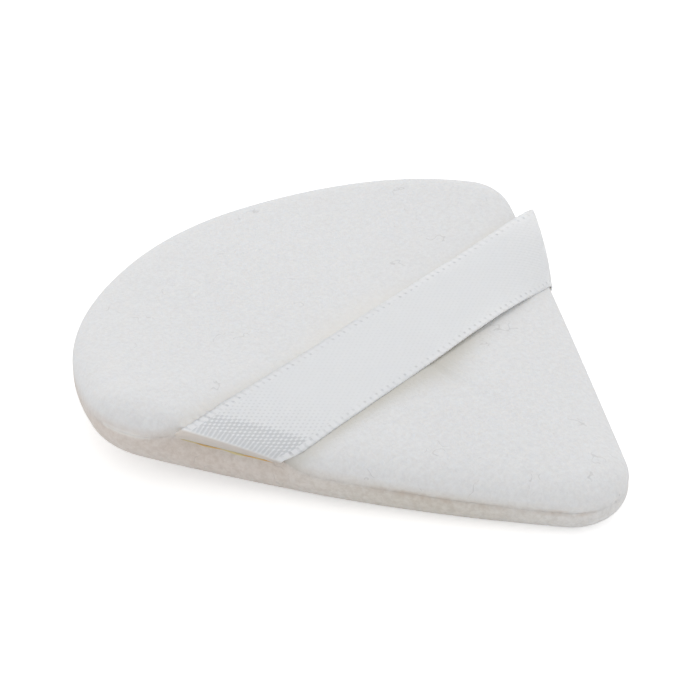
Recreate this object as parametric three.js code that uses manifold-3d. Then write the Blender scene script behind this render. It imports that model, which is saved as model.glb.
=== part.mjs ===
// A wedge-shaped velour powder puff: two sewn panels over a foam pad, with a satin ribbon for the fingers.
// Millimetres, +Z up, powder face down, tip towards -Y. The origin lies under the middle of the outline.

import * as THREE from "three";
import { mergeVertices } from "three/addons/utils/BufferGeometryUtils.js";
import Module from "manifold-3d";

// Outline, seen from above
const padLength = 77.5;
const tipAngle = 66;
const sideLength = 70;
const sideBulge = 1.1;
const tipRadius = 7;
const cornerRadius = 9.7;
const backRadius = 37;

// Section through the pad
const padThickness = 9.4;
const tipThinning = 1.6;
const crown = 0.6;
const seamHeight = 4.5;
const topRim = 4.6;
const baseRim = 3.6;
const coverThickness = 1.2;

// The ribbon draws the wide sides up, so that only a strip along the middle lies flat
const cornerLift = 3.7;
const flatHalfWidth = 9;

// Edge seam
const creaseDepth = 0.9;
const foldRise = 0.9;
const seamAllowance = 3.5;
const stitchDepth = 2.4;
const threadDiameter = 0.5;

// Finger ribbon
const ribbonWidth = 12.7;
const ribbonThickness = 0.4;
const ribbonFromTip = 35.8;
const ribbonTail = 3;
const bandHalfLength = 14;
const bandGapLeft = 0.3;
const bandGapRight = 1;
const loopReach = 1.5;
const loopRise = 1.05;
const loopSlack = 0.2;

// Glue under the ribbon ends
const glueLength = 9;
const glueWidth = 1.5;
const glueThickness = 0.5;

// Clearances
const seamGap = 0.3;
const fitGap = 0.3;
const threadGap = 0.2;

// How finely curves are divided
const arcSteps = { tip: 4, side: 8, corner: 7, back: 6 };
const threadSides = 6;
const ribbonStations = 5;
const edgeSteps = 4;

const wasm = await Module();
wasm.setup();

// Outline: tip, bulged side, outer corner and back edge are arcs that run into each other

const halfAngle = THREE.MathUtils.degToRad(tipAngle / 2);
const sideRadius = (sideLength / 2) ** 2 / (2 * sideBulge) + sideBulge / 2;
const along = new THREE.Vector2(Math.sin(halfAngle), Math.cos(halfAngle));
const outward = new THREE.Vector2(Math.cos(halfAngle), -Math.sin(halfAngle));
const sideCentre = along
  .clone()
  .multiplyScalar(sideLength / 2)
  .addScaledVector(outward, sideBulge - sideRadius);
const tipCentre = new THREE.Vector2(
  0,
  sideCentre.y - Math.sqrt((sideRadius - tipRadius) ** 2 - sideCentre.x ** 2),
);
const tipY = -padLength / 2;
const toMiddle = tipY - (tipCentre.y - tipRadius);
sideCentre.y += toMiddle;
tipCentre.y += toMiddle;
const backCentre = new THREE.Vector2(0, tipY + padLength - backRadius);
const cornerCentre = meet(
  sideCentre,
  sideRadius - cornerRadius,
  backCentre,
  backRadius - cornerRadius,
);
const halfWidth = cornerCentre.x + cornerRadius;

// The point at two given distances from a and b, to the left of the way from a to b
function meet(a, fromA, b, fromB) {
  const line = b.clone().sub(a);
  const apart = line.length();
  line.normalize();
  const reach = (apart ** 2 + fromA ** 2 - fromB ** 2) / (2 * apart);
  const aside = Math.sqrt(fromA ** 2 - reach ** 2);
  return a
    .clone()
    .addScaledVector(line, reach)
    .add(new THREE.Vector2(-line.y, line.x).multiplyScalar(aside));
}

function arc(centre, radius, from, to, steps) {
  return Array.from({ length: steps }, (_, k) => {
    const turn = THREE.MathUtils.lerp(from, to, k / steps);
    return new THREE.Vector2(Math.cos(turn), Math.sin(turn)).multiplyScalar(radius).add(centre);
  });
}

// The whole outline drawn in by a given amount, counter-clockwise from the tip
function outline(inset) {
  const tipEnd = tipCentre.clone().sub(sideCentre).angle() - 2 * Math.PI;
  const sideEnd = cornerCentre.clone().sub(sideCentre).angle() - 2 * Math.PI;
  const cornerEnd = cornerCentre.clone().sub(backCentre).angle();
  const right = [
    ...arc(tipCentre, tipRadius - inset, -Math.PI / 2, tipEnd, arcSteps.tip),
    ...arc(sideCentre, sideRadius - inset, tipEnd, sideEnd, arcSteps.side),
    ...arc(cornerCentre, cornerRadius - inset, sideEnd, cornerEnd, arcSteps.corner),
    ...arc(backCentre, backRadius - inset, cornerEnd, Math.PI / 2, arcSteps.back),
    new THREE.Vector2(0, backCentre.y + backRadius - inset),
  ];
  const left = right
    .slice(1, -1)
    .reverse()
    .map((p) => new THREE.Vector2(-p.x, p.y));
  return [...right, ...left];
}

// Half width of the outline across the straight side, and how squarely the side meets a line along X
function sideAt(y) {
  const x = sideCentre.x + Math.sqrt(sideRadius ** 2 - (y - sideCentre.y) ** 2);
  return { x, square: (x - sideCentre.x) / sideRadius };
}

// The pad as it lies: thinner towards the tip, its wide sides drawn up

function thinning(y) {
  const share = THREE.MathUtils.smoothstep(y, tipY, 0);
  return 1 - (tipThinning / padThickness) * (1 - share);
}

function lift(x) {
  const beyond = Math.max(Math.abs(x) - flatHalfWidth, 0);
  return cornerLift * (beyond / (halfWidth - flatHalfWidth)) ** 2;
}

function asItLies(x, y, z) {
  return new THREE.Vector3(x, y, z * thinning(y) + lift(x));
}

// Solids

function geometryOf(points, triangles) {
  const geometry = new THREE.BufferGeometry().setFromPoints(points);
  geometry.setIndex(triangles.flat());
  geometry.computeVertexNormals();
  return geometry;
}

// A band of triangles between each ring of points and the next, all rings of one length
function bands(count, pairs) {
  const triangles = [];
  for (const [from, to] of pairs) {
    for (let j = 0; j < count; j += 1) {
      const next = (j + 1) % count;
      triangles.push([from + j, to + j, to + next], [from + j, to + next, from + next]);
    }
  }
  return triangles;
}

// A ring of the section: the outline drawn in by inset, then shrunk about the middle of the pad
function ring(inset, z, shrink = 1) {
  return outline(inset).map((p) => asItLies(p.x * shrink, p.y * shrink, z));
}

// A body closed over the middle at both ends of its section, from the upper middle outwards to the lower
function closedBody(upperMiddle, rings, lowerMiddle) {
  const count = rings[0].length;
  const points = rings.flat();
  const triangles = bands(
    count,
    rings.slice(1).map((_, k) => [k * count, (k + 1) * count]),
  );
  const upper = points.push(asItLies(0, 0, upperMiddle)) - 1;
  const lower = points.push(asItLies(0, 0, lowerMiddle)) - 1;
  const last = (rings.length - 1) * count;
  for (let j = 0; j < count; j += 1) {
    const next = (j + 1) % count;
    triangles.push([upper, j, next], [lower, last + next, last + j]);
  }
  return geometryOf(points, triangles);
}

// A cord that follows the whole outline
function closedCord(inset, z, diameter, sides) {
  const rings = Array.from({ length: sides }, (_, k) => {
    const turn = (k / sides) * 2 * Math.PI;
    return ring(inset - (Math.cos(turn) * diameter) / 2, z - (Math.sin(turn) * diameter) / 2);
  });
  const count = rings[0].length;
  const pairs = rings.map((_, k) => [k * count, ((k + 1) % sides) * count]);
  return geometryOf(rings.flat(), bands(count, pairs));
}

// A quarter of an ellipse that leaves its start upright and reaches its end level
function roundedEdge(inset, z, endInset, endZ, steps) {
  return Array.from({ length: steps + 1 }, (_, k) => {
    const turn = ((k / steps) * Math.PI) / 2;
    return [
      THREE.MathUtils.lerp(inset, endInset, 1 - Math.cos(turn)),
      THREE.MathUtils.lerp(z, endZ, Math.sin(turn)),
    ];
  });
}

// Rings of a face that swells towards the middle of the pad
function face(inset, z, swell, shares) {
  return shares.map((share) => ring(inset, z + swell * (1 - share ** 2), share));
}

// A strip of even thickness along a grid of points, each row being one line along the strip
function strip(rows, thickness) {
  const wide = rows.length;
  const long = rows[0].length;
  const points = [];
  for (const side of [1, -1]) {
    for (const row of rows) {
      row.forEach((p, k) => {
        const before = row[Math.max(k - 1, 0)];
        const after = row[Math.min(k + 1, long - 1)];
        const way = after.clone().sub(before).normalize();
        const up = new THREE.Vector3(-way.z, 0, way.x).normalize();
        points.push(p.clone().addScaledVector(up, (side * thickness) / 2));
      });
    }
  }
  const at = (side, i, k) => (side * wide + i) * long + k;
  const triangles = [];
  const quad = (a, b, c, d) => triangles.push([a, b, c], [a, c, d]);
  for (let i = 0; i < wide - 1; i += 1) {
    for (let k = 0; k < long - 1; k += 1) {
      quad(at(0, i, k), at(0, i, k + 1), at(0, i + 1, k + 1), at(0, i + 1, k));
      quad(at(1, i, k), at(1, i + 1, k), at(1, i + 1, k + 1), at(1, i, k + 1));
    }
    quad(at(0, i, 0), at(0, i + 1, 0), at(1, i + 1, 0), at(1, i, 0));
    quad(at(0, i, long - 1), at(1, i, long - 1), at(1, i + 1, long - 1), at(0, i + 1, long - 1));
  }
  for (let k = 0; k < long - 1; k += 1) {
    quad(at(0, 0, k), at(1, 0, k), at(1, 0, k + 1), at(0, 0, k + 1));
    quad(at(0, wide - 1, k), at(0, wide - 1, k + 1), at(1, wide - 1, k + 1), at(1, wide - 1, k));
  }
  return geometryOf(points, triangles);
}

function toManifold(geometry) {
  const bare = geometry.clone();
  bare.deleteAttribute("normal");
  const merged = mergeVertices(bare);
  return new wasm.Manifold(
    new wasm.Mesh({
      numProp: 3,
      vertProperties: merged.attributes.position.array,
      triVerts: new Uint32Array(merged.index.array),
    }),
  );
}

function cut(geometry, tools) {
  const left = tools.reduce((body, tool) => body.subtract(toManifold(tool)), toManifold(geometry));
  const made = left.getMesh();
  const result = new THREE.BufferGeometry();
  result.setAttribute("position", new THREE.BufferAttribute(made.vertProperties, 3));
  result.setIndex(new THREE.BufferAttribute(made.triVerts, 1));
  result.computeVertexNormals();
  return result;
}

// Heights in the section of the pad before it is thinned and lifted

const seamLow = seamHeight - seamGap / 2;
const seamHigh = seamHeight + seamGap / 2;
const topEdge = padThickness - crown;
const allowanceEnd = creaseDepth + seamAllowance;
const innerTop = seamHigh + coverThickness;
const innerBase = seamLow - coverThickness;

function withRings(section) {
  return section.map(([inset, z]) => ring(inset, z));
}

// Half of the soft fold beside the crease, from the crease outwards
function fold(creaseZ, wallZ) {
  return [
    [creaseDepth, creaseZ],
    [creaseDepth * (1 - Math.SQRT1_2), THREE.MathUtils.lerp(creaseZ, wallZ, 1 - Math.SQRT1_2)],
  ];
}

// Upper panel, its edge folded in along the seam
function topCover() {
  const outer = roundedEdge(0, seamHigh + foldRise, topRim, topEdge, edgeSteps);
  const inner = roundedEdge(coverThickness, innerTop, topRim, topEdge - coverThickness, edgeSteps - 1);
  const allowance = [
    [allowanceEnd, seamHigh],
    [allowanceEnd, innerTop],
  ];
  return closedBody(
    padThickness,
    [
      ...face(topRim, topEdge, crown, [0.25, 0.5, 0.75]),
      ...withRings([...outer.reverse(), ...fold(seamHigh, seamHigh + foldRise).reverse()]),
      ...withRings([...allowance, ...inner]),
      ...face(topRim, topEdge - coverThickness, crown, [0.66, 0.33]),
    ],
    padThickness - coverThickness,
  );
}

// Lower panel, with the furrow that the stitches pull into its folded-in edge
function baseCover() {
  const outer = roundedEdge(0, seamLow - foldRise, baseRim, 0, edgeSteps);
  const inner = roundedEdge(coverThickness, innerBase, baseRim, coverThickness, edgeSteps - 1);
  const stitchInset = creaseDepth + stitchDepth;
  const furrow = threadDiameter / 2 + threadGap;
  const furrowFloor = seamLow - threadDiameter - threadGap;
  const allowance = [
    [allowanceEnd, innerBase],
    [allowanceEnd, seamLow],
    [stitchInset + furrow, seamLow],
    [stitchInset + furrow, furrowFloor],
    [stitchInset - furrow, furrowFloor],
    [stitchInset - furrow, seamLow],
  ];
  return closedBody(
    coverThickness,
    [
      ...face(baseRim, coverThickness, 0, [0.33, 0.66]),
      ...withRings([...inner.reverse(), ...allowance]),
      ...withRings([...fold(seamLow, seamLow - foldRise), ...outer]),
      ...face(baseRim, 0, 0, [0.66, flatHalfWidth / (halfWidth - baseRim)]),
    ],
    0,
  );
}

// Foam pad, with the groove that the folded-in edges press into its rim
function foamCore() {
  const lip = coverThickness + fitGap;
  const upperLip = innerTop + fitGap;
  const lowerLip = innerBase - fitGap;
  const foamTop = topEdge - coverThickness - fitGap;
  const foamBase = coverThickness + fitGap;
  const upper = roundedEdge(lip, upperLip, topRim, foamTop, edgeSteps - 1);
  const lower = roundedEdge(lip, lowerLip, baseRim, foamBase, edgeSteps - 1);
  const groove = [
    [allowanceEnd + fitGap, upperLip],
    [allowanceEnd + fitGap, lowerLip],
  ];
  return closedBody(
    foamTop + crown,
    [
      ...face(topRim, foamTop, crown, [0.33, 0.66]),
      ...withRings([...upper.reverse(), ...groove, ...lower]),
      ...face(baseRim, foamBase, 0, [0.66, 0.33]),
    ],
    foamBase,
  );
}

function seamThread() {
  const threadZ = seamLow - threadDiameter / 2;
  return closedCord(creaseDepth + stitchDepth, threadZ, threadDiameter, threadSides);
}

// Ribbon: lines along X, one for each station across its width.
// Its ends are sewn square to the slanted sides, so they take up less of Y than its middle does

const ribbonY = tipY + ribbonFromTip;
const endWidth = ribbonWidth * Math.cos(halfAngle);
const endY = ribbonY + (ribbonWidth - endWidth) / 2;
const tailZ = seamHigh + ribbonThickness / 2;
const ribbonOff = fitGap + ribbonThickness / 2;

function stations(middle, width) {
  return Array.from({ length: ribbonStations }, (_, k) => {
    return middle + width * (k / (ribbonStations - 1) - 0.5);
  });
}

// A point of a ribbon line at a given inset from the side seam; hand is -1 on the left and 1 on the right
function besideSeam(hand, y, [inset, z]) {
  const side = sideAt(y);
  return asItLies(hand * (side.x - inset / side.square), y, z);
}

// The ribbon in section beside the seam: its tail between the folded-in edges, out of the crease, round the edge.
// With no slack it lies close; with all of it, it stands off the edge
function edgePath(slack) {
  const wallInset = THREE.MathUtils.lerp(-ribbonOff, -loopReach, slack);
  const wallZ = seamHigh + foldRise + loopRise * slack;
  return [
    [creaseDepth + ribbonTail, tailZ],
    [creaseDepth + ribbonTail / 2, tailZ],
    [creaseDepth, tailZ],
    [creaseDepth - ribbonOff, tailZ],
    [wallInset * 0.5, THREE.MathUtils.lerp(tailZ, wallZ, 0.2)],
    ...roundedEdge(wallInset, wallZ, topRim, topEdge + ribbonOff + loopSlack * slack, edgeSteps),
  ];
}

// The middle of the ribbon lies close on the left and stands a little off on the right
function bandPoint(x, y) {
  const gap = THREE.MathUtils.mapLinear(x, -bandHalfLength, bandHalfLength, bandGapLeft, bandGapRight);
  return new THREE.Vector3(x, y, asItLies(x, y, padThickness).z + gap);
}

function ribbonBand() {
  const rows = stations(ribbonY, ribbonWidth).map((y) => {
    return [-1, -0.5, 0, 0.5, 1].map((share) => bandPoint(share * bandHalfLength, y));
  });
  return strip(rows, ribbonThickness);
}

// An end of the ribbon; slack is how loose its back edge is, its front edge always lies close
function ribbonLeg(hand, slack) {
  const bandY = stations(ribbonY, ribbonWidth);
  const seamY = stations(endY, endWidth);
  const rows = bandY.map((y, k) => {
    const path = edgePath((slack * k) / (ribbonStations - 1));
    const turned = path.length - edgeSteps;
    const row = path.map((p, i) => {
      const share = THREE.MathUtils.smoothstep(i, turned - 1, path.length - 1);
      return besideSeam(hand, THREE.MathUtils.lerp(seamY[k], y, share), p);
    });
    row.push(bandPoint(hand * (bandHalfLength + fitGap), y));
    return row;
  });
  return strip(rows, ribbonThickness);
}

// Room for a ribbon tail in the upper panel
function tailRoom(hand) {
  const path = [
    [creaseDepth + ribbonTail + fitGap, tailZ],
    [creaseDepth, tailZ],
    [-ribbonOff - fitGap, tailZ],
  ];
  const rows = stations(endY, endWidth + 2 * fitGap).map((y) => path.map((p) => besideSeam(hand, y, p)));
  return strip(rows, ribbonThickness + 2 * fitGap);
}

// Glue: a flat line along the crease, under the ribbon
function glueLine(hand, around) {
  const glueZ = seamLow - glueThickness / 2;
  const reach = glueWidth / 2 + around;
  const path = [creaseDepth + reach, creaseDepth, creaseDepth - reach].map((inset) => [inset, glueZ]);
  const rows = stations(endY, glueLength + 2 * around).map((y) => path.map((p) => besideSeam(hand, y, p)));
  return strip(rows, glueThickness + 2 * around);
}

function pieceOf(name, geometry, colour, roughness) {
  const material = new THREE.MeshStandardMaterial({ color: colour, roughness, metalness: 0 });
  const mesh = new THREE.Mesh(geometry, material);
  mesh.name = name;
  return mesh;
}

const velour = 0xe4e5e5;
const satin = 0xe3e4e6;
const group = new THREE.Group();
group.name = "powder_puff";
group.add(
  pieceOf("base_cover", cut(baseCover(), [glueLine(-1, fitGap), glueLine(1, fitGap)]), velour, 0.95),
  pieceOf("top_cover", cut(topCover(), [tailRoom(-1), tailRoom(1)]), velour, 0.95),
  pieceOf("foam_core", foamCore(), 0xf2efe6, 0.9),
  pieceOf("seam_thread", seamThread(), 0xf0f0ee, 0.6),
  pieceOf("ribbon_left_leg", ribbonLeg(-1, 0), satin, 0.45),
  pieceOf("ribbon_band", ribbonBand(), satin, 0.45),
  pieceOf("ribbon_right_leg", ribbonLeg(1, 1), satin, 0.45),
  pieceOf("glue_line_left", glueLine(-1, 0), 0xe6c87c, 0.35),
  pieceOf("glue_line_right", glueLine(1, 0), 0xe6c87c, 0.35),
);

export default group;
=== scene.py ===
"""Looks of a wedge-shaped velour powder puff with a satin finger ribbon, built around its CAD part."""

import math

import bmesh
import bpy
import numpy as np
from mathutils import Matrix, Vector
from mathutils.bvhtree import BVHTree


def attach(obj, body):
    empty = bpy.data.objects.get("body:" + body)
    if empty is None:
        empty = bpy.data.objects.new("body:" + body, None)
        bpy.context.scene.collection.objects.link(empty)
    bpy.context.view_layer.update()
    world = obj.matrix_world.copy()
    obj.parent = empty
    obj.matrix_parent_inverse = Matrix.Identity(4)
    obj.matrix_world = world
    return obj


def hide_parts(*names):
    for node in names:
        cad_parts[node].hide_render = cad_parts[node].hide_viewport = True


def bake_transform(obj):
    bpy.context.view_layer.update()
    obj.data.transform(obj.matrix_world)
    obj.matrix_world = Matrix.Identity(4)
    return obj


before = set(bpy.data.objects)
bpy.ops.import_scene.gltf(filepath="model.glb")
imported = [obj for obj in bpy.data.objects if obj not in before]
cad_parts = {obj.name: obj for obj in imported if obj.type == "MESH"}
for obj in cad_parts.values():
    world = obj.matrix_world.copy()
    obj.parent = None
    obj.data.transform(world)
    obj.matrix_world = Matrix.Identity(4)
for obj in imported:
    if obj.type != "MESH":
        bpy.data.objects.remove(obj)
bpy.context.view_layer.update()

MM = 0.001
TURN = 2 * math.pi

# The pad in millimetres and degrees, as in the part's source but for tighter corners and a thinner cover

PAD_LENGTH = 77.5
TIP_ANGLE = 66
SIDE_LENGTH = 70
SIDE_BULGE = 1.1
TIP_RADIUS = 7
CORNER_RADIUS = 8.5
BACK_RADIUS = 37
PAD_THICKNESS = 9.4
TIP_THINNING = 1.6
CROWN = 0.6
TOP_RIM = 4.6
BASE_RIM = 3.6
COVER_THICKNESS = 1.1
CORNER_LIFT = 3.7
FLAT_HALF_WIDTH = 9

# The edge seam in millimetres, with a finer crease than the part's source has

SEAM_HEIGHT = 4.5
SEAM_OVERLAP = 0.2
SEAM_ALLOWANCE = 3.5
CREASE_DEPTH = 0.22
CREASE_LIP = 0.3
FOLD_RISE = 0.85

# How the ribbon's sewn end draws in the edge on the left, in millimetres

PULL_UP = 0.75
PULL_IN = 1.3
PULL_REACH = 8
PULL_ACROSS = (-10, -7.2, 3, 6.5)
SIDE_INWARD = (0.84, 0.54)
SIDE_END_Y = 20

# The outline: tip, bulged side, outer corner and back edge are arcs that run into each other

TIP_STEPS = 10
SIDE_STEPS = 26
CORNER_STEPS = 14
BACK_STEPS = 16
MERGE_DISTANCE = 0.001


def meet(a, from_a, b, from_b):
    """The point at two given distances from a and b, to the left of the way from a to b."""
    line = b - a
    apart = line.length
    line.normalize()
    reach = (apart**2 + from_a**2 - from_b**2) / (2 * apart)
    aside = math.sqrt(from_a**2 - reach**2)
    return a + line * reach + Vector((-line.y, line.x)) * aside


def heading(a, b):
    return math.atan2(b.y - a.y, b.x - a.x)


half_angle = math.radians(TIP_ANGLE / 2)
side_radius = (SIDE_LENGTH / 2) ** 2 / (2 * SIDE_BULGE) + SIDE_BULGE / 2
along = Vector((math.sin(half_angle), math.cos(half_angle)))
outward = Vector((math.cos(half_angle), -math.sin(half_angle)))
side_centre = along * SIDE_LENGTH / 2 + outward * (SIDE_BULGE - side_radius)
tip_drop = math.sqrt((side_radius - TIP_RADIUS) ** 2 - side_centre.x**2)
tip_y = -PAD_LENGTH / 2
tip_centre = Vector((0, tip_y + TIP_RADIUS))
side_centre.y = tip_centre.y + tip_drop
back_centre = Vector((0, tip_y + PAD_LENGTH - BACK_RADIUS))
corner_centre = meet(
    side_centre, side_radius - CORNER_RADIUS, back_centre, BACK_RADIUS - CORNER_RADIUS
)
half_width = corner_centre.x + CORNER_RADIUS


def outline(bm, fineness):
    """Draws the outline as a closed loop, and gives its vertices in order, their places and ways out."""
    to_tip = heading(side_centre, tip_centre)
    to_corner = heading(side_centre, corner_centre)
    to_back = heading(back_centre, corner_centre)
    turns = [
        (tip_centre, -math.pi / 2, to_tip, TIP_STEPS),
        (side_centre, to_tip, to_corner, SIDE_STEPS),
        (corner_centre, to_corner, to_back, CORNER_STEPS),
        (back_centre, to_back, math.pi / 2, BACK_STEPS),
    ]
    last = bm.verts.new((0, tip_y, 0))
    for centre, start, end, steps in turns:
        spun = bmesh.ops.spin(
            bm,
            geom=[last],
            cent=(centre.x, centre.y, 0),
            axis=(0, 0, 1),
            angle=end - start,
            steps=steps * fineness,
        )
        last = next(g for g in spun["geom_last"] if isinstance(g, bmesh.types.BMVert))
    last.co.x = 0
    bmesh.ops.mirror(bm, geom=bm.verts[:] + bm.edges[:], merge_dist=MERGE_DISTANCE, axis="X")
    first = min(bm.verts, key=lambda v: v.co.y)
    following = max((e.other_vert(first) for e in first.link_edges), key=lambda v: v.co.x)
    order = [first, following]
    while len(order) < len(bm.verts):
        neighbours = [e.other_vert(order[-1]) for e in order[-1].link_edges]
        order.append(next(v for v in neighbours if v not in order[-2:]))
    points = [v.co.xy for v in order]
    ways = []
    for k in range(len(points)):
        tangent = points[(k + 1) % len(points)] - points[k - 1]
        ways.append(Vector((tangent.y, -tangent.x)).normalized())
    return order, points, ways


def side_at(y):
    """Half width of the outline at y, along the bulged side."""
    return side_centre.x + math.sqrt(side_radius**2 - (y - side_centre.y) ** 2)


def eased(value, start, end):
    """0 before start, 1 past end, smooth between."""
    share = min(max((value - start) / (end - start), 0), 1)
    return share * share * (3 - 2 * share)


def between(value, start, full, fading, end):
    """1 from full to fading, and smoothly down to 0 at start and end."""
    return eased(value, start, full) * (1 - eased(value, fading, end))


def as_it_lies(x, y, z):
    """A point of the flat pad as it lies: thinner at the tip, wide sides drawn up, left edge pulled in."""
    thinning = 1 - TIP_THINNING / PAD_THICKNESS * (1 - eased(y, tip_y, 0))
    lift = CORNER_LIFT * (max(abs(x) - FLAT_HALF_WIDTH, 0) / (half_width - FLAT_HALF_WIDTH)) ** 2
    height = z * thinning + lift
    if x < 0 and y < SIDE_END_Y:
        in_x, in_y = SIDE_INWARD
        inside = (side_at(y) + x) * in_x
        pull = between(y, *PULL_ACROSS) * (1 - eased(inside, 0, PULL_REACH))
        raised = eased(z, 0, SEAM_HEIGHT)
        above = max(z - SEAM_HEIGHT, 0) / (PAD_THICKNESS - SEAM_HEIGHT)
        height += pull * PULL_UP * raised * (1 - above)
        inward = pull * PULL_IN * raised
        x += in_x * inward
        y += in_y * inward
    return Vector((x, y, height))


# Making meshes


def loft(rows, fineness=1, ring=False, wander=None):
    """Extrudes the outline through rows of (inset, height, share of size), to a ring or a closed form."""
    bm = bmesh.new()
    station = bm.verts.layers.int.new("station")
    order, points, ways = outline(bm, fineness)
    for k, v in enumerate(order):
        v[station] = k

    def place(verts, row):
        inset, z, share = row
        for v in verts:
            k = v[station]
            drift = wander(k / len(points), inset, z) if wander else 0
            p = (points[k] - ways[k] * (inset + drift)) * share
            v.co = (p.x, p.y, z)

    loop = bm.edges[:]
    first = loop
    place(order, rows[0])
    for row in rows[1:]:
        grown = bmesh.ops.extrude_edge_only(bm, edges=loop)["geom"]
        loop = [g for g in grown if isinstance(g, bmesh.types.BMEdge)]
        place([g for g in grown if isinstance(g, bmesh.types.BMVert)], row)
    if ring:
        bmesh.ops.bridge_loops(bm, edges=first + loop)
    else:
        for edges in (first, loop):
            filled = bmesh.ops.edgeloop_fill(bm, edges=edges)
            bmesh.ops.poke(bm, faces=filled["faces"])
    bmesh.ops.recalc_face_normals(bm, faces=bm.faces)
    return bm


def lay_down(bm):
    for v in bm.verts:
        v.co = as_it_lies(*v.co)


def finished(bm, name):
    """Turns a bmesh in millimetres into a smooth object at the origin."""
    bmesh.ops.scale(bm, vec=(MM, MM, MM), verts=bm.verts)
    mesh = bpy.data.meshes.new(name)
    bm.to_mesh(mesh)
    bm.free()
    mesh.shade_smooth()
    piece = bpy.data.objects.new(name, mesh)
    bpy.context.scene.collection.objects.link(piece)
    return piece


def subdivided(piece, levels):
    modifier = piece.modifiers.new("smooth form", "SUBSURF")
    modifier.levels = levels
    modifier.render_levels = levels
    return piece


def settled(piece):
    """Applies the modifiers that the piece has so far."""
    shaped = piece.evaluated_get(bpy.context.evaluated_depsgraph_get())
    mesh = bpy.data.meshes.new_from_object(shaped)
    mesh.name = piece.name
    piece.modifiers.clear()
    piece.data = mesh
    return piece


def thickened(piece, thickness):
    """Gives a sheet its thickness, half to each side."""
    modifier = piece.modifiers.new("thickness", "SOLIDIFY")
    modifier.thickness = thickness * MM
    modifier.offset = 0
    return piece


def quarter_round(inset, z, end_inset, end_z, steps):
    """Rows of a rounded edge that leaves its start upright and reaches its end level."""
    rows = []
    for k in range(1, steps + 1):
        turn = k / steps * math.pi / 2
        row_inset = inset + (end_inset - inset) * (1 - math.cos(turn))
        row_z = z + (end_z - z) * math.sin(turn)
        rows.append((row_inset, row_z, 1))
    return rows


# The rows of a velour panel; its fold is given in shares of the crease's depth and of the fold's rise

ROUND_STEPS = 7
FACE_SHARES = (0.94, 0.86, 0.76, 0.65, 0.53, 0.41, 0.29, 0.17, 0.06)
FOLD_PROFILE = ((1, 0.03), (0.6, 0.25), (0.2, 0.6), (0, 1))
INNER_WALL_START = 1.3


def side_rows(inset, wall_z, rim, face_z, crown):
    """Rows of one side of a panel, from its wall over the rounded edge to the middle of its face."""
    rows = quarter_round(inset, wall_z, rim, face_z, ROUND_STEPS)
    return rows + [(rim, face_z + crown * (1 - share**2), share) for share in FACE_SHARES]


def panel_rows(seam_z, rise, rim, face_z, crown):
    """Rows of a panel: its inner side from the middle out, the turned-in edge, the fold, the outer side."""
    thickness = math.copysign(COVER_THICKNESS, rise)
    turned = CREASE_DEPTH + SEAM_ALLOWANCE
    inner_z = seam_z + thickness
    inner = side_rows(
        COVER_THICKNESS, seam_z + thickness * INNER_WALL_START, rim, face_z - thickness, crown
    )
    edge = [
        (COVER_THICKNESS, inner_z, 1),
        (turned / 2, inner_z, 1),
        (turned, inner_z, 1),
        (turned, seam_z, 1),
        (turned / 2, seam_z, 1),
        (CREASE_DEPTH + CREASE_LIP, seam_z, 1),
    ]
    fold = [(CREASE_DEPTH * depth, seam_z + rise * up, 1) for depth, up in FOLD_PROFILE]
    return inner[::-1] + edge + fold + side_rows(0, seam_z + rise, rim, face_z, crown)


# How the seam changes round the pad; its places are shares of the outline, counted from the tip

OPENING_FROM_TIP = (0.01, 0.06)
PRESSED_SHUT = (0.45, 0.55, 0.815, 0.85)
SHUT = 0.9
# A painted highlight along the lit edge of the fold at the seam: its span and strength
PAINTED_HIGHLIGHT_SPAN = (0.655, 0.67, 0.73, 0.745)
# The dimple's span and strength set painted shade where the ribbon pinches the edge
DIMPLE = (0.745, 0.752, 0.762, 0.772)
PAINTED_HIGHLIGHT_STRENGTH = 0.8
DIMPLE_STRENGTH = 0.8
CREASE_FILL = 0.2
CREASE_UNEVEN = 0.45
CREASE_WAVES = (151, 67)
FULLEST_CREASE = 0.95


def furrow(s):
    """How open the seam is at share s: hardly from the back to the ribbon, and shut at the tip."""
    from_tip = min(s, 1 - s)
    return eased(from_tip, *OPENING_FROM_TIP) * (1 - SHUT * between(s, *PRESSED_SHUT))


def shallow_crease(s, inset, z):
    """How far the crease comes out towards the edge at share s of the outline."""
    in_crease = 1 - eased(abs(z - SEAM_HEIGHT), 0, FOLD_RISE)
    short_wave, long_wave = CREASE_WAVES
    uneven = CREASE_FILL + CREASE_UNEVEN * math.sin(s * short_wave) * math.sin(s * long_wave + 1)
    filled = min(max(1 - furrow(s) + uneven, 0), FULLEST_CREASE)
    return -in_crease * min(inset, CREASE_DEPTH) * filled


def seam_tone(s):
    """How the seam is painted at share s of the outline: painted crease shade above 0, where it is open and
    at the dimple, and a painted highlight below 0.
    """
    dimple = DIMPLE_STRENGTH * between(s, *DIMPLE)
    return max(furrow(s), dimple) - PAINTED_HIGHLIGHT_STRENGTH * between(s, *PAINTED_HIGHLIGHT_SPAN)


# How the filling pushes a panel out as cloth, with lengths in millimetres

SWELL = 0.4
SWELL_FREE = (0.5, 2.5)
SWELL_ROUNDS = 6
CLOTH_FRAMES = 15
FILLING_PRESSURE = 4


def spreading(mesh):
    """Gives a function that evens out one value per vertex with those of the vertices next to it."""
    count = len(mesh.vertices)
    ends = np.empty(len(mesh.edges) * 2, np.int32)
    mesh.edges.foreach_get("vertices", ends)
    a, b = ends.reshape(-1, 2).T
    degree = np.bincount(ends, minlength=count)
    return lambda values: (np.bincount(a, values[b], count) + np.bincount(b, values[a], count)) / degree


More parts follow.
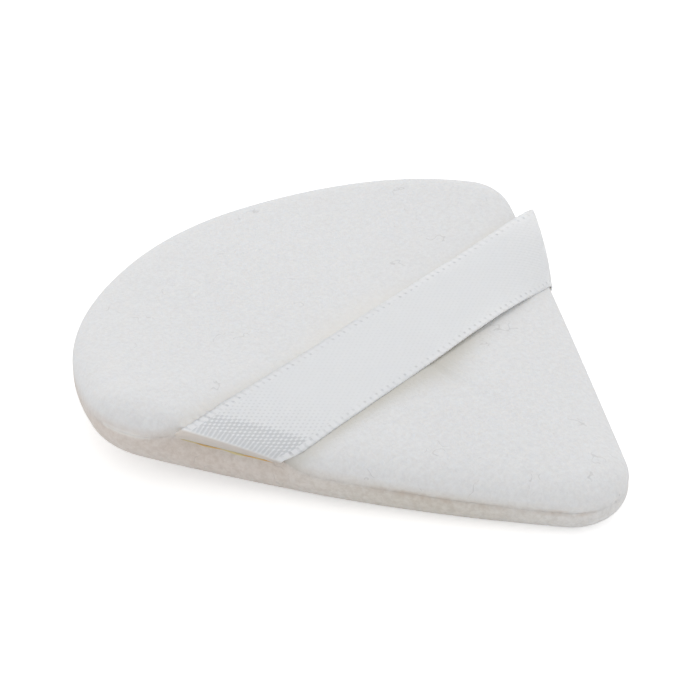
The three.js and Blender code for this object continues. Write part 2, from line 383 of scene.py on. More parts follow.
def swell(panel, held):
    """Lets the filling push the panel out as cloth, its held vertices fixed, as far as SWELL allows."""
    scene = bpy.context.scene
    panel.vertex_groups.new(name="held").add(held, 1, "REPLACE")
    cloth = panel.modifiers.new("filling", "CLOTH")
    cloth.settings.vertex_group_mass = "held"
    cloth.settings.use_pressure = True
    cloth.settings.uniform_pressure_force = FILLING_PRESSURE
    cloth.settings.effector_weights.gravity = 0
    cloth.point_cache.frame_start = 1
    cloth.point_cache.frame_end = CLOTH_FRAMES
    for number in range(1, CLOTH_FRAMES + 1):
        scene.frame_set(number)
    shaped = panel.evaluated_get(bpy.context.evaluated_depsgraph_get())
    ways = [v.normal.copy() for v in panel.data.vertices]
    moves = [a.co - b.co for a, b in zip(shaped.data.vertices, panel.data.vertices)]
    pushed = np.array([move.dot(way) for move, way in zip(moves, ways)]) / MM
    panel.modifiers.clear()
    scene.frame_set(1)
    spread = spreading(panel.data)
    for _ in range(SWELL_ROUNDS):
        pushed = spread(np.clip(pushed, -SWELL, SWELL))
    for v, way, push in zip(panel.data.vertices, ways, pushed):
        free = eased(abs(v.co.z / MM - SEAM_HEIGHT), *SWELL_FREE)
        v.co += way * (push * free * MM)
        v.co.z = max(v.co.z, 0)


# The two velour panels; heights in millimetres from the seam, and from the table for the resting face

SEAM_FADE = (0.1, 0.8)
WALL_FADE = (-0.8, 1.8)
RESTING = 0.01
PANEL_LEVELS = 2


def velour_panel(name, rows):
    """A panel sewn round its edge: it swells as cloth, then lies as the pad does."""
    bm = loft(rows, wander=shallow_crease)
    seam = bm.verts.layers.float.new("seam")
    wall = bm.verts.layers.float.new("wall")
    station = bm.verts.layers.int["station"]
    stations = max(v[station] for v in bm.verts) + 1
    inner_side = (len(rows) - ROUND_STEPS - len(FACE_SHARES)) * stations
    bm.verts.index_update()
    held = []
    for v in bm.verts:
        above_seam = v.co.z - SEAM_HEIGHT
        # The seam attribute holds painted crease shade above 0 and a painted highlight below 0
        v[seam] = (1 - eased(abs(above_seam), *SEAM_FADE)) * seam_tone(v[station] / stations)
        v[wall] = 1 - eased(above_seam, *WALL_FADE)
        if v.index < inner_side or v.co.z < RESTING:
            held.append(v.index)
    panel = finished(bm, name)
    swell(panel, held)
    for v in panel.data.vertices:
        v.co = as_it_lies(*(v.co / MM)) * MM
    return settled(subdivided(panel, PANEL_LEVELS))


top_seam = SEAM_HEIGHT - SEAM_OVERLAP / 2
base_seam = SEAM_HEIGHT + SEAM_OVERLAP / 2
top_face = PAD_THICKNESS - CROWN

top_panel = velour_panel("top_panel", panel_rows(top_seam, FOLD_RISE, TOP_RIM, top_face, CROWN))
base_panel = velour_panel("base_panel", panel_rows(base_seam, -FOLD_RISE, BASE_RIM, 0, 0))

# The foam pad, with edges as (inset, height) in millimetres

FOAM_FACE_INSET = TOP_RIM + 0.2
FOAM_FACE_SHARE = 0.5
FOAM_BOTTOM = 1.5
FOAM_LOWER_EDGE = ((2.2, 2.1), (1.8, 2.7))
FOAM_UPPER_EDGE = ((1.9, 6.3), (2.4, 6.8))
FOAM_SHOULDER = 7.25
FOAM_TOP = 7.6
GROOVE_GAP = 0.3
GROOVE_TAPER = 0.6
GROOVE_LOW = 2.9
GROOVE_HIGH = 6.1


def foam_filling():
    """The foam between the panels, grooved all round for their turned-in edges."""
    groove = CREASE_DEPTH + SEAM_ALLOWANCE + GROOVE_GAP
    rows = [
        (FOAM_FACE_INSET, FOAM_BOTTOM, FOAM_FACE_SHARE),
        (FOAM_FACE_INSET, FOAM_BOTTOM, 1),
        *((inset, z, 1) for inset, z in FOAM_LOWER_EDGE),
        (groove - GROOVE_TAPER, GROOVE_LOW, 1),
        (groove, SEAM_HEIGHT, 1),
        (groove - GROOVE_TAPER, GROOVE_HIGH, 1),
        *((inset, z, 1) for inset, z in FOAM_UPPER_EDGE),
        (FOAM_FACE_INSET, FOAM_SHOULDER, 1),
        (FOAM_FACE_INSET, FOAM_TOP, FOAM_FACE_SHARE),
    ]
    bm = loft(rows)
    lay_down(bm)
    return subdivided(finished(bm, "foam_pad"), 1)


foam_pad = foam_filling()

# The sewing thread, in millimetres

STITCHES = 90
STITCH_INSET = 2.0
STITCH_SWING = 1.35
THREAD_RADIUS = 0.17
THREAD_SIDES = 6
THREAD_FINENESS = 4


def stitched_thread():
    """One thread round the seam; each stitch swings out to the crease, where it shows."""
    rows = []
    for k in range(THREAD_SIDES):
        turn = k / THREAD_SIDES * TURN
        inset = STITCH_INSET + THREAD_RADIUS * math.cos(turn)
        rows.append((inset, SEAM_HEIGHT + THREAD_RADIUS * math.sin(turn), 1))

    def stitch(s, inset, z):
        return STITCH_SWING * math.cos(s * STITCHES * TURN)

    bm = loft(rows, THREAD_FINENESS, ring=True, wander=stitch)
    lay_down(bm)
    return finished(bm, "sewing_thread")


sewing_thread = stitched_thread()

# The ribbon's two edges from the left tail to the right one, as listed points in millimetres

BACK_EDGE = [
    (-27.6, 2.6, 7.3),
    (-29.8, 2.9, 8.2),
    (-31.2, 3.2, 8.65),
    (-31.35, 3.25, 8.95),
    (-30.1, 3.2, 9.07),
    (-26.9, 3.25, 9.2),
    (-23.1, 3.3, 9.4),
    (-19.9, 3.3, 9.45),
    (-13.5, 3.4, 9.5),
    (-8.0, 3.45, 9.6),
    (-2.2, 3.6, 9.78),
    (5.9, 3.7, 9.98),
    (13.8, 3.75, 10.3),
    (19.0, 3.75, 10.5),
    (24.0, 3.7, 10.85),
    (28.0, 3.6, 11.25),
    (30.6, 3.5, 11.4),
    (32.7, 3.45, 11.36),
    (33.15, 3.42, 11.12),
    (33.3, 3.4, 9.6),
    (31.6, 3.4, 7.6),
    (28.0, 3.2, 6.5),
]
FRONT_EDGE = [
    (-20.6, -6.6, 5.7),
    (-22.6, -7.0, 6.2),
    (-24.1, -7.4, 6.4),
    (-24.3, -7.6, 6.8),
    (-23.8, -8.1, 7.2),
    (-22.4, -8.9, 7.75),
    (-20.0, -9.3, 8.35),
    (-17.5, -9.4, 8.7),
    (-13.0, -9.35, 8.95),
    (-9.2, -9.25, 9.1),
    (-4.2, -9.2, 9.35),
    (2.0, -9.1, 9.75),
    (7.3, -8.72, 9.81),
    (13.3, -8.4, 9.83),
    (17.4, -8.2, 9.59),
    (20.2, -8.0, 9.2),
    (22.5, -7.6, 8.65),
    (24.5, -7.0, 8.0),
    (25.3, -6.72, 7.5),
    (25.4, -6.62, 7.0),
    (24.4, -6.6, 5.9),
    (21.6, -6.4, 5.2),
]

# Points of those edges, by number, and how the strip bows out where it folds over on the right

LEFT_CREASE = 2
RIGHT_CREASE = 20
RIGHT_FOLD = 18
FOLD_BOW = 0.34
FOLD_BOW_REACH = 1.5
FOLD_BOW_WAY = Vector((0.78, -0.62, 0))

# The strip in millimetres; its border starts at a share of the width from the middle

RIBBON_WIDTH = 12.7
RIBBON_THICKNESS = 0.2
RIBBON_RUNS = 480
RIBBON_ROWS = 36
CURVE_STEPS = 1200
BORDER_START = 0.47
PICOT_PITCH = 1.02
PICOT_TOOTH = 0.1


def run_through(knots, shares):
    """Points of a smooth curve through knots, at shares of its length, and that length."""
    knots = np.array(knots, float)
    steps = np.sqrt(np.linalg.norm(np.diff(knots, axis=0), axis=1))
    t = np.concatenate(([0], np.cumsum(steps)))
    slopes = np.gradient(knots, t, axis=0)
    fine = np.linspace(0, t[-1], CURVE_STEPS)
    k = np.clip(np.searchsorted(t, fine, side="right") - 1, 0, len(t) - 2)
    width = (t[k + 1] - t[k])[:, None]
    u = ((fine - t[k])[:, None]) / width
    curve = (
        (1 + 2 * u) * (1 - u) ** 2 * knots[k]
        + u * (1 - u) ** 2 * width * slopes[k]
        + u**2 * (3 - 2 * u) * knots[k + 1]
        + u**2 * (u - 1) * width * slopes[k + 1]
    )
    gone = np.concatenate(([0], np.cumsum(np.linalg.norm(np.diff(curve, axis=0), axis=1))))
    wanted = np.asarray(shares) * gone[-1]
    return np.stack([np.interp(wanted, gone, curve[:, i]) for i in range(3)], axis=1), gone[-1]


def woven_rows():
    """Rows of the strip from its front to its back edge: their points, lengths and runs up to x = 0."""
    shares = np.linspace(0, 1, RIBBON_RUNS + 1)
    lines = []
    lengths = []
    middles = []
    for row in range(RIBBON_ROWS + 1):
        v = row / RIBBON_ROWS
        knots = [Vector(front).lerp(Vector(back), v) for front, back in zip(FRONT_EDGE, BACK_EDGE)]
        for number, knot in enumerate(knots):
            nearness = math.exp(-(((number - RIGHT_FOLD) / FOLD_BOW_REACH) ** 2))
            knot += FOLD_BOW_WAY * (FOLD_BOW * 4 * v * (1 - v) * nearness)
        line, length = run_through(knots, shares)
        lines.append(line)
        lengths.append(length)
        middles.append(np.abs(line[:, 0]).argmin() / RIBBON_RUNS * length)
    return lines, lengths, middles


def satin_ribbon():
    """One strip from seam to seam, its two woven borders slightly toothed, and its mean length."""
    bm = bmesh.new()
    bmesh.ops.create_grid(bm, x_segments=RIBBON_RUNS, y_segments=RIBBON_ROWS, size=0.5, calc_uvs=False)
    weave = bm.loops.layers.uv.new("weave")
    span = bm.loops.layers.uv.new("span")
    lines, lengths, middles = woven_rows()
    length = sum(lengths) / len(lengths)
    for face in bm.faces:
        for loop in face.loops:
            share = loop.vert.co.x + 0.5
            row = round((loop.vert.co.y + 0.5) * RIBBON_ROWS)
            across = loop.vert.co.y * RIBBON_WIDTH
            loop[weave].uv = (share * lengths[row] - middles[row], across)
            loop[span].uv = (share * length, across)
    for v in bm.verts:
        k = round((v.co.x + 0.5) * RIBBON_RUNS)
        row = round((v.co.y + 0.5) * RIBBON_ROWS)
        place = Vector(lines[row][k])
        border = max(abs(v.co.y) - BORDER_START, 0) / (0.5 - BORDER_START)
        run = k / RIBBON_RUNS * lengths[row] - middles[row]
        tooth = PICOT_TOOTH * math.cos(run / PICOT_PITCH * TURN)
        place.y += math.copysign(border * tooth, v.co.y)
        v.co = place
    bmesh.ops.recalc_face_normals(bm, faces=bm.faces)
    if sum(f.normal.z for f in bm.faces) < 0:
        bmesh.ops.reverse_faces(bm, faces=bm.faces)
    return thickened(finished(bm, "ribbon"), RIBBON_THICKNESS), length


ribbon, ribbon_length = satin_ribbon()

# How the ribbon presses into the upper panel: millimetres, and shares of its length for where it lies

LYING_STRETCH = (0.064, 0.9)
RIBBON_SINK = 0.03
RAY_START = 4
OUTER_SIDE = 0.05
PRESS_ROUNDS = 40
PRESS_EASING = 0.97
BESIDE_ROUNDS = 12


def lying_ribbon():
    """The stretch of the ribbon that lies over the pad, to be found by rays."""
    mesh = ribbon.data
    runs = mesh.uv_layers["span"].data
    start, end = (share * ribbon_length for share in LYING_STRETCH)
    lying = [tuple(p.vertices) for p in mesh.polygons if start < runs[p.loop_start].uv.x < end]
    return BVHTree.FromPolygons([v.co for v in mesh.vertices], lying)


def press_under_ribbon(panel):
    """Lowers both sides of the panel under the ribbon, eases that off, and marks the strips beside it for
    the painted shadow and tint.
    """
    over_pad = lying_ribbon()
    room = (RIBBON_THICKNESS / 2 - RIBBON_SINK) * MM
    inner_room = room + COVER_THICKNESS / 2 * MM
    needed = np.zeros(len(panel.data.vertices))
    covered = np.zeros(len(panel.data.vertices))
    for v in panel.data.vertices:
        hit = over_pad.ray_cast(v.co - Vector((0, 0, RAY_START * MM)), Vector((0, 0, 1)))[0]
        if hit is not None:
            below = room if v.normal.z > OUTER_SIDE else inner_room
            needed[v.index] = min(hit.z - below - v.co.z, 0)
            covered[v.index] = 1
    spread = spreading(panel.data)
    sunk = needed.copy()
    for _ in range(PRESS_ROUNDS):
        sunk = np.minimum(needed, PRESS_EASING * spread(sunk))
    for _ in range(BESIDE_ROUNDS):
        covered = spread(covered)
    # The mark peaks at the ribbon's edges, where the painted shadow falls
    beside = 4 * covered * (1 - covered)
    for v in panel.data.vertices:
        v.co.z += sunk[v.index]
    panel.data.attributes.new("beside", "FLOAT", "POINT").data.foreach_set("value", beside)


press_under_ribbon(top_panel)

# Glue that shows in the crease under the ribbon's ends: lengths in millimetres, places as shares of a bead

GLUE_STEPS = 40
GLUE_SIDES = 8
GLUE_WAVE = 0.05
GLUE_WAVES = 17
GLUE_UNEVEN = 0.2
GLUE_LUMPS = 23
GLUE_DROP = 0.5
GLUE_DROP_AT = 0.62
GLUE_DROP_LENGTH = 0.08
GLUE_TAPER = 0.1
GLUE_END = 0.15


def bead_size(share):
    """How thick a bead is at a share of its length: uneven, with one drop, and thin at both ends."""
    drop = GLUE_DROP * math.exp(-(((share - GLUE_DROP_AT) / GLUE_DROP_LENGTH) ** 2))
    size = 1 - GLUE_UNEVEN + GLUE_UNEVEN * math.sin(share * GLUE_LUMPS + 1) + drop
    taper = min(share, 1 - share, GLUE_TAPER) / GLUE_TAPER
    return size * (GLUE_END + (1 - GLUE_END) * taper)


def glue_bead(name, crease, shares, drop, radius):
    """A thin uneven bead just under the ribbon in its crease, between two shares of the ribbon's width."""
    back = Vector(BACK_EDGE[crease])
    front = Vector(FRONT_EDGE[crease])
    start, end = (back.lerp(front, share) - Vector((0, 0, drop)) for share in shares)
    bm = bmesh.new()
    verts = bmesh.ops.create_circle(bm, cap_ends=False, radius=radius, segments=GLUE_SIDES)["verts"]
    bmesh.ops.rotate(bm, verts=verts, cent=(0, 0, 0), matrix=Matrix.Rotation(math.pi / 2, 3, "X"))
    first = ring = bm.edges[:]
    last_middle = Vector((0, 0, 0))
    last_size = 1
    for k in range(GLUE_STEPS + 1):
        share = k / GLUE_STEPS
        middle = start.lerp(end, share) + Vector((0, 0, GLUE_WAVE * math.sin(share * GLUE_WAVES)))
        size = bead_size(share)
        if k:
            grown = bmesh.ops.extrude_edge_only(bm, edges=ring)["geom"]
            ring = [g for g in grown if isinstance(g, bmesh.types.BMEdge)]
            verts = [g for g in grown if isinstance(g, bmesh.types.BMVert)]
        for v in verts:
            v.co = (v.co - last_middle) * (size / last_size) + middle
        last_middle = middle
        last_size = size
    for edges in (first, ring):
        bmesh.ops.edgeloop_fill(bm, edges=edges)
    bmesh.ops.recalc_face_normals(bm, faces=bm.faces)
    return subdivided(finished(bm, name), 1)


glue_left = glue_bead("glue_left", LEFT_CREASE, (0.04, 0.92), drop=0.24, radius=0.13)
glue_right = glue_bead("glue_right", RIGHT_CREASE, (0.1, 0.8), drop=0.35, radius=0.16)

# Finishes: colours are given in 0 to 255 as they look on a screen


class Wire:
    """A socket of a finish, used in plain expressions."""

    def __init__(self, finish, socket):
        self.finish = finish
        self.socket = socket

    def _with(self, operation, a, b):
        return self.finish.node("ShaderNodeMath", {"operation": operation}, {0: a, 1: b})

    def __add__(self, other):
        return self._with("ADD", self, other)

    __radd__ = __add__

    def __sub__(self, other):
        return self._with("SUBTRACT", self, other)

    def __rsub__(self, other):
        return self._with("SUBTRACT", other, self)

    def __mul__(self, other):
        return self._with("MULTIPLY", self, other)

    __rmul__ = __mul__


def linear(colour):
    """A screen colour as a shader takes it."""
    parts = []
    for part in colour:
        c = part / 255
        parts.append(c / 12.92 if c <= 0.04045 else ((c + 0.055) / 1.055) ** 2.4)
    return (*parts, 1.0)


class Finish:
    """A material, or the world, built node by node."""

    def __init__(self, owner):
        owner.use_nodes = True
        self.owner = owner
        self.tree = owner.node_tree
        self.tree.nodes.clear()

    def node(self, kind, settings=None, sockets=None, out=0):
        """Adds a node, sets it up, fills or links its sockets, and gives one of its outputs."""
        made = self.tree.nodes.new(kind)
        for key, value in (settings or {}).items():
            setattr(made, key, value)
        for key, value in (sockets or {}).items():
            if isinstance(value, Wire):
                self.tree.links.new(value.socket, made.inputs[key])
            else:
                made.inputs[key].default_value = value
        return Wire(self, made.outputs[out]) if made.outputs else None

    def place(self):
        return self.node("ShaderNodeTexCoord", out="Object")

    def attribute(self, name):
        return self.node("ShaderNodeAttribute", {"attribute_name": name}, out="Fac")

    def parts(self, vector):
        split = self.node("ShaderNodeSeparateXYZ", {}, {0: vector})
        return [Wire(self, socket) for socket in split.socket.node.outputs]

    def noise(self, place, scale, detail=2.0, roughness=0.5):
        sockets = {"Vector": place, "Scale": scale, "Detail": detail, "Roughness": roughness}
        return self.node("ShaderNodeTexNoise", {}, sockets)

    def step(self, value, start, end):
        """0 below start, 1 above end, smooth between."""
        sockets = {"Value": value, "From Min": start, "From Max": end}
        return self.node("ShaderNodeMapRange", {"interpolation_type": "SMOOTHSTEP"}, sockets)

    def of(self, operation, value):
        return self.node("ShaderNodeMath", {"operation": operation}, {0: value})

    def colours(self, share, a, b):
        """Mixes two colours, each a screen colour or the outcome of a mix."""
        a, b = (colour if isinstance(colour, Wire) else linear(colour) for colour in (a, b))
        return self.node("ShaderNodeMix", {"data_type": "RGBA"}, {0: share, 6: a, 7: b}, out=2)

    def bump(self, height, strength, distance, below=None):
        sockets = {"Strength": strength, "Distance": distance, "Height": height}
        if below is not None:
            sockets["Normal"] = below
        return self.node("ShaderNodeBump", {}, sockets)

    def seen(self):
        """1 where the background is looked at, straight or in a reflection."""
        kinds = ("Is Camera Ray", "Is Glossy Ray", "Is Transmission Ray")
        straight, glossy, through = (self.node("ShaderNodeLightPath", out=kind) for kind in kinds)
        return straight + glossy + through

    def surface(self, sockets):
        shader = self.node("ShaderNodeBsdfPrincipled", {}, sockets)
        self.node("ShaderNodeOutputMaterial", {}, {"Surface": shader})
        return self.owner


# Velour

PILE_DARK = (229, 229, 230)
PILE_LIGHT = (238, 239, 240)
# The next two colours are painted warm shade for the low edge, standing in for its shade and warm bounce
# light
PAINTED_EDGE_SHADE = (215, 209, 199)
PAINTED_LEFT_EDGE_SHADE = (220, 209, 201)
FUZZ_DARK_AND_SHADE = (196, 186, 176)
FUZZ_LIGHT = (238, 234, 229)
PAINTED_CREASE_SHADE = (196, 178, 163)
PAINTED_SEAM_HIGHLIGHT = (247, 244, 240)
BEHIND_RIBBON = (237, 233, 226)
# A painted shadow of the ribbon on the pile in front of it
PAINTED_RIBBON_SHADOW = (208, 205, 197)
LINT = (150, 147, 145)
PILE_LENGTHENING = (1, 1, 0.35)


def brushed_pile(f, place, clouds):
    """Colour and normal of the short brushed pile: fine grain, tufts and soft strokes."""
    upright = f.node("ShaderNodeVectorMath", {"operation": "MULTIPLY"}, {0: place, 1: PILE_LENGTHENING})
    grain = f.noise(place, 2600, 3, 0.65)
    tufts = f.noise(upright, 1700, 3, 0.6)
    strokes = f.noise(upright, 190, 2)
    mottle = (grain - 0.5) * 0.8 + (tufts - 0.5) * 0.8 + (strokes - 0.5) * 0.08 + (clouds - 0.5) * 0.1
    colour = f.colours(f.step(mottle, -0.35, 0.35), PILE_DARK, PILE_LIGHT)
    normal = f.bump(tufts * 0.7 + grain * 0.5, 0.5, 0.25 * MM, f.bump(strokes, 0.08, 0.6 * MM))
    return colour, normal


def painted_edge_shade_and_fuzz(f, place, colour):
    """Painted warm shade low on the edge, for its shade and warm bounce light, pinker on the left and gone
    at the lit tip, with dark fuzz that adds to it and light fuzz.
    """
    x, y, _ = f.parts(place)
    wall = f.attribute("wall")
    left = f.step(0 - x, 17 * MM, 27 * MM) * (1 - f.step(y, 16 * MM, 34 * MM))
    edge_shade = f.colours(left, PAINTED_EDGE_SHADE, PAINTED_LEFT_EDGE_SHADE)
    uneven = 0.75 + f.step(f.noise(place, 130, 2), 0.3, 0.7) * 0.25
    to_tip = f.step(x - y * 0.6, 2 * MM, 22 * MM)
    # Painted warm shade low on the edge, left out towards the lit tip
    colour = f.colours(wall * uneven * (1 - 0.9 * to_tip), colour, edge_shade)
    fuzz = f.step(f.noise(place, 1300, 4, 0.65), 0.3, 0.7)
    # Dark fuzz: mottle of the pile that also darkens the low edge as painted shade
    colour = f.colours(wall * (0.33 - 0.33 * fuzz) * (1 - 0.2 * to_tip), colour, FUZZ_DARK_AND_SHADE)
    return f.colours(wall * fuzz * 0.32, colour, FUZZ_LIGHT)


def painted_seam_shade_and_highlight(f, place, colour):
    """Painted shade in the crease where the seam is open and at the dimple, and a painted highlight where
    the attribute is below 0.
    """
    seam = f.attribute("seam")
    # Painted shade in the open crease, broken up by noise
    crease_shade = f.step(seam, 0, 1) * f.step(f.noise(place, 420, 2), 0.3, 0.75)
    colour = f.colours(crease_shade * 0.55, colour, PAINTED_CREASE_SHADE)
    # A painted highlight along the lit edge of the fold
    return f.colours(f.step(0 - seam, 0.3, 0.8) * 0.8, colour, PAINTED_SEAM_HIGHLIGHT)


def painted_ribbon_shadow_and_tint(f, place, clouds, colour):
    """A painted warm shadow before the ribbon, which fades to the right, and a weaker cream tint behind it.
    """
    x, y, _ = f.parts(place)
    front = 1 - f.step(y, -6 * MM, 0)
    tone = f.colours(front, BEHIND_RIBBON, PAINTED_RIBBON_SHADOW)
    weight = 0.5 + front * (0.45 - 0.75 * f.step(x, 4 * MM, 14 * MM))
    return f.colours(f.attribute("beside") * weight * f.step(clouds, 0, 0.5), colour, tone)


def strewn_lint(f, place, colour):
    """Short curled hairs here and there."""
    curls = 1 - f.step(f.of("ABSOLUTE", f.noise(place, 520, 1) - 0.5), 0.008, 0.022)
    strewn = f.step(f.noise(place, 270, 0), 0.73, 0.76)
    return f.colours(curls * strewn * 0.2, colour, LINT)


def velour(name):
    f = Finish(bpy.data.materials.new(name))
    place = f.place()
    clouds = f.noise(place, 50, 2)
    colour, normal = brushed_pile(f, place, clouds)
    colour = painted_edge_shade_and_fuzz(f, place, colour)
    colour = painted_seam_shade_and_highlight(f, place, colour)
    colour = painted_ribbon_shadow_and_tint(f, place, clouds, colour)
    colour = strewn_lint(f, place, colour)
    return f.surface(
        {
            "Base Color": colour,
            "Roughness": 0.95,
            "Specular IOR Level": 0.1,
            "Subsurface Weight": 0.6,
            "Subsurface Radius": (1.0, 0.92, 0.84),
            "Subsurface Scale": 0.5 * MM,
            "Sheen Weight": 0.2,
            "Sheen Roughness": 0.45,
            "Normal": normal,
        }
    )


# Satin: places along the strip and from its edge in millimetres, lattice repeats per millimetre

SATIN_DARK = (248, 249, 251)
SATIN_LIGHT = (252, 253, 254)
LATTICE_GAP = (138, 141, 146)
BORDER_GAP = (138, 140, 146)
BORDER_PIT = (120, 120, 124)
TAIL_SHADE_AND_CREAM = (206, 197, 189)
TAIL_END = (4.5, 5.1)
STREAKS_START = (4.6, 5.1)
STREAKS_END = (5.9, 6.7)
BEND_START = (4.5, 5.2)
BEND_END = (8.6, 10.4)
OPEN_START = (4.6, 5.4)
OPEN_END = (9, 18)
BEND_SLANT = 0.12
OPEN_SLANT = 0.1
BORDER_WIDTH = (0.85, 1.0)
PITS_START = (0.45, 0.62)
PITS_END = (0.75, 0.95)
ROW_REPEATS = (0.75, -1.62)
SLANT_REPEATS = (1.24, 1.2)


def satin():
    """Woven satin: a slanting lattice that opens where the strip bends and is darkened there as painted
    shade, corded borders with pits, and a tail in painted shade.
    """
    f = Finish(bpy.data.materials.new("satin"))
    run, across, _ = f.parts(f.node("ShaderNodeUVMap", {"uv_map": "weave"}))
    span, _, _ = f.parts(f.node("ShaderNodeUVMap", {"uv_map": "span"}))
    place = f.place()
    threads = f.noise(place, 900, 2)
    clouds = f.noise(place, 60, 2)
    colour = f.colours(f.step(clouds + threads * 0.3, 0.4, 0.9), SATIN_DARK, SATIN_LIGHT)

    from_edge = RIBBON_WIDTH / 2 - f.of("ABSOLUTE", across)
    border = 1 - f.step(from_edge, *BORDER_WIDTH)
    past_tail = f.step(span, *TAIL_END)
    streaks = f.step(span, *STREAKS_START) * (1 - f.step(span, *STREAKS_END))
    bend = f.step(span, *BEND_START) * (1 - f.step(span + across * BEND_SLANT, *BEND_END))
    opened = f.step(span, *OPEN_START) * (1 - f.step(span + across * OPEN_SLANT, *OPEN_END))

    rows, slants = (
        f.of("COSINE", (run * along_repeats + across * across_repeats) * TURN)
        for along_repeats, across_repeats in (ROW_REPEATS, SLANT_REPEATS)
    )
    floats = rows * 0.5 + slants * (0.5 - 0.45 * streaks)
    inside = (1 - border) * past_tail
    sunk = (1 - f.step(floats, bend * 0.7 - 0.95, bend - 0.1)) * inside
    # Weave gaps, darker where the weave opens, and darker still in the bend as painted shade where the
    # strip turns from the light
    colour = f.colours(sunk * (0.05 + 0.14 * opened + 0.2 * bend), colour, LATTICE_GAP)

    cord = f.of("COSINE", run * (TURN / PICOT_PITCH))
    gaps = f.step(cord, -0.1, 0.9) * border * past_tail * f.step(threads, 0.25, 0.6)
    # Border gaps, with the same painted shade in the bend
    colour = f.colours(gaps * (0.1 + 0.1 * bend + 0.1 * opened), colour, BORDER_GAP)
    pits = f.step(from_edge, *PITS_START) * (1 - f.step(from_edge, *PITS_END)) * f.step(cord, 0.4, 0.95)
    colour = f.colours(pits * (0.08 + 0.14 * f.step(threads, 0.4, 0.62)), colour, BORDER_PIT)
    # The rolled tail past the sewn end: a cream tone darkened as painted shade, where it faces down and
    # away from the light
    colour = f.colours((1 - past_tail) * 0.9, colour, TAIL_SHADE_AND_CREAM)

    height = floats * (0.25 + 0.35 * opened) * inside - cord * border * 0.3 - pits * 0.4
    return f.surface(
        {
            "Base Color": colour,
            "Roughness": 0.42 + 0.12 * threads,
            "Specular IOR Level": 0.35,
            "Subsurface Weight": 0.7,
            "Subsurface Radius": (1.0, 0.94, 0.86),
            "Subsurface Scale": 0.6 * MM,
            "Sheen Weight": 0.1,
            "Sheen Roughness": 0.3,
            "Normal": f.bump(height, 0.4, 0.12 * MM),
        }
    )


# Foam, thread and glue

FOAM_DARK = (228, 224, 210)
FOAM_LIGHT = (247, 244, 234)
THREAD_DARK = (226, 225, 221)
THREAD_LIGHT = (246, 246, 245)
GLUE_YELLOW = (212, 198, 150)
GLUE_AMBER = (216, 168, 90)


def foam():
    """Open-cell foam."""
    f = Finish(bpy.data.materials.new("foam"))
    cells = f.node("ShaderNodeTexVoronoi", {}, {"Vector": f.place(), "Scale": 1400})
    colour = f.colours(f.step(cells, 0.1, 0.7), FOAM_DARK, FOAM_LIGHT)
    normal = f.bump(cells, 0.6, 0.3 * MM)
    return f.surface({"Base Color": colour, "Roughness": 0.95, "Normal": normal})


def thread():
    """Twisted sewing thread."""
    f = Finish(bpy.data.materials.new("thread"))
    plies = f.noise(f.place(), 3000, 2)
    colour = f.colours(plies, THREAD_DARK, THREAD_LIGHT)
    normal = f.bump(plies, 0.5, 0.1 * MM)
    return f.surface({"Base Color": colour, "Roughness": 0.5 + 0.2 * plies, "Normal": normal})


def glue():
    """Yellowed glue with a few amber drops."""
    f = Finish(bpy.data.materials.new("glue"))
    place = f.place()
    drops = f.step(f.noise(place, 300, 1), 0.52, 0.68)
    colour = f.colours(drops * 0.8, GLUE_YELLOW, GLUE_AMBER)
    haze = f.noise(place, 1500, 2)
    normal = f.bump(haze, 0.3, 0.1 * MM)
    return f.surface({"Base Color": colour, "Roughness": 0.3 + 0.25 * haze, "Normal": normal})


for piece, material in (
    (top_panel, velour("top velour")),
    (base_panel, velour("base velour")),
    (foam_pad, foam()),
    (sewing_thread, thread()),
    (ribbon, satin()),
    (glue_left, glue()),
    (glue_right, glue()),
):
    piece.data.materials.append(material)

# Floor and light, with lengths in millimetres

FLOOR_SIZE = 4000
FLOOR_GAP = 0.02
FLOOR_COLOUR = (0.92, 0.92, 0.92, 1)
FLOOR_GLOW = 0.5
SKY = 0.97
SOFTBOX_PLACE = Vector((350, 400, 800))
SOFTBOX_SIZE = 600
SOFTBOX_POWER = 1.4


def pale_floor():
    """A floor just under the puff that looks white and keeps the shadow."""
    bm = bmesh.new()
    bmesh.ops.create_grid(bm, x_segments=1, y_segments=1, size=FLOOR_SIZE)
    bmesh.ops.translate(bm, vec=(0, 0, -FLOOR_GAP), verts=bm.verts)
    floor = finished(bm, "floor")
    f = Finish(bpy.data.materials.new("floor"))
    matt = f.node("ShaderNodeBsdfDiffuse", {}, {"Color": FLOOR_COLOUR})
    glow = f.node("ShaderNodeEmission", {}, {"Strength": f.seen() * FLOOR_GLOW})
    both = f.node("ShaderNodeAddShader", {}, {0: matt, 1: glow})
    f.node("ShaderNodeOutputMaterial", {}, {"Surface": both})
    floor.data.materials.append(f.owner)


def sky():
    """Even light from all round, white where it is looked at."""
    world = bpy.data.worlds.new("studio")
    bpy.context.scene.world = world
    f = Finish(world)
    light = f.node("ShaderNodeBackground", {}, {"Strength": SKY + f.seen() * (1 - SKY)})
    f.node("ShaderNodeOutputWorld", {}, {"Surface": light})


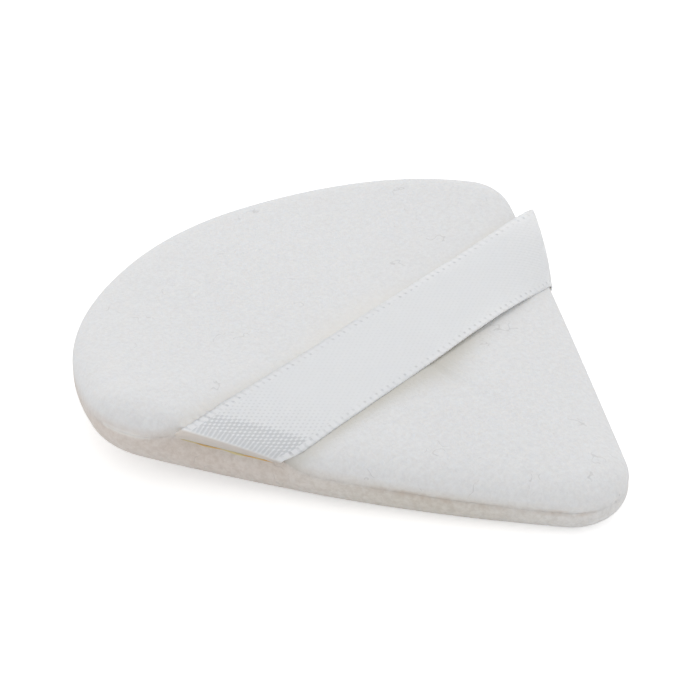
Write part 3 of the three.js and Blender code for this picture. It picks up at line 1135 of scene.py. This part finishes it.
def softbox():
    """One soft lamp above, behind and to the right, aimed at the puff."""
    light = bpy.data.lights.new("softbox", "AREA")
    light.shape = "DISK"
    light.size = SOFTBOX_SIZE * MM
    light.energy = SOFTBOX_POWER
    lamp = bpy.data.objects.new("softbox", light)
    lamp.location = SOFTBOX_PLACE * MM
    lamp.rotation_euler = (-SOFTBOX_PLACE).to_track_quat("-Z", "Y").to_euler()
    bpy.context.scene.collection.objects.link(lamp)


# The camera where the photograph was taken from: degrees, and millimetres from the part's origin

AZIMUTH = -45.976
ELEVATION = 35.866
ROLL = -0.577
DISTANCE = 339
AIM_RIGHT = -3.525
AIM_UP = 5.74
LENS = 137.65
SENSOR = 36
CLIP_START = 10
CLIP_END = 50000


def photo_camera():
    a = math.radians(AZIMUTH)
    e = math.radians(ELEVATION)
    back = Vector((math.sin(a) * math.cos(e), -math.cos(a) * math.cos(e), math.sin(e)))
    right = Vector((math.cos(a), math.sin(a), 0))
    up = back.cross(right)
    place = back * DISTANCE
    aim = right * AIM_RIGHT + up * AIM_UP
    camera = bpy.data.cameras.new("camera")
    camera.lens = LENS
    camera.sensor_width = SENSOR
    camera.clip_start = CLIP_START * MM
    camera.clip_end = CLIP_END * MM
    seat = bpy.data.objects.new("camera", camera)
    level = (aim - place).to_track_quat("-Z", "Y").to_matrix()
    turn = level @ Matrix.Rotation(math.radians(ROLL), 3, "Z")
    seat.matrix_world = Matrix.Translation(place * MM) @ turn.to_4x4()
    bpy.context.scene.collection.objects.link(seat)
    bpy.context.scene.camera = seat


pale_floor()
sky()
softbox()
photo_camera()
bpy.context.scene.view_settings.view_transform = "Standard"

# Joining the looks to the frame

for piece, node, slot in (
    (top_panel, "top_cover", "velour"),
    (base_panel, "base_cover", "velour"),
    (foam_pad, "foam_core", "foam"),
    (sewing_thread, "seam_thread", "thread"),
    (glue_left, "glue_line_left", "glue"),
    (glue_right, "glue_line_right", "glue"),
):
    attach(piece, "pad")
    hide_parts(node)

# The ribbon is held at both ends; each of its vertices gets a weight, 1 near x = 0 and 0 towards both ends;
# distances in metres

LIFT_START = 0.031
LIFT_FULL = 0.013

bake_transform(ribbon)
lifted = [eased(abs(v.co.x), LIFT_START, LIFT_FULL) for v in ribbon.data.vertices]
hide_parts("ribbon_left_leg", "ribbon_band", "ribbon_right_leg")
ribbon_length * MM
